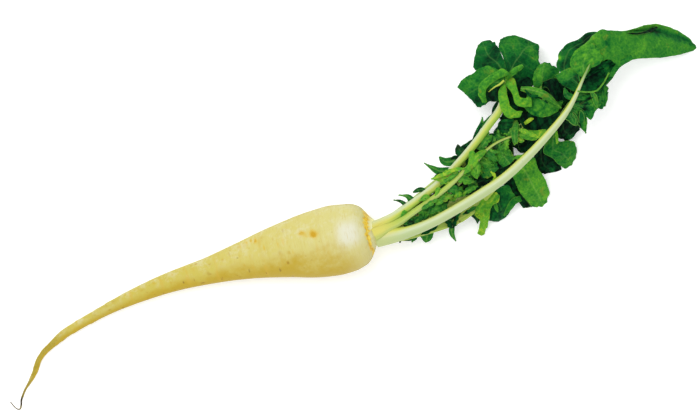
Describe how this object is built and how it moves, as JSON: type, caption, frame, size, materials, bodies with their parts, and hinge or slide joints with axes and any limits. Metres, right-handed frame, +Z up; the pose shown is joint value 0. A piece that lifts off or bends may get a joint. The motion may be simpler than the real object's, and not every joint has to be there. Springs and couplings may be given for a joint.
{
  "type": "radish",
  "caption": "Long white tapering radish root lying on its side, with a thin curved tail, pale leaf stalks and green lobed leaves still on.",
  "frame": {"origin": "middle of the flat spot that the thick part of the root rests on, at table height", "axes": "+X from the root tip to the leaf tips, +Z up"},
  "size_m": [0.5607, 0.1258, 0.0594],
  "materials": {
    "root_skin": "smooth waxy white to straw yellow skin, orange-brown scars",
    "stalk": "smooth moist pale green-white stalk",
    "young_stalk": "smooth pale yellow-green stalk",
    "leaf": "thin veined green leaf, slightly glossy",
    "young_leaf": "thin crinkled light green leaf"
  },
  "bodies": {
    "root": {"root": "root_skin", "front_leaf_stalk": "stalk", "upper_leaf_stalk": "stalk", "middle_leaf_stalk": "stalk", "lower_leaf_stalk": "stalk", "back_leaf_stalk": "stalk", "young_outer_leaf_stalk": "young_stalk", "young_inner_leaf_stalk": "young_stalk", "front_leaf_blade": "leaf", "upper_leaf_blade": "leaf", "middle_leaf_blade": "leaf", "lower_leaf_blade": "leaf", "back_leaf_blade": "leaf", "young_outer_leaf_blade": "young_leaf", "young_inner_leaf_blade": "young_leaf"}
  },
  "joints": []
}
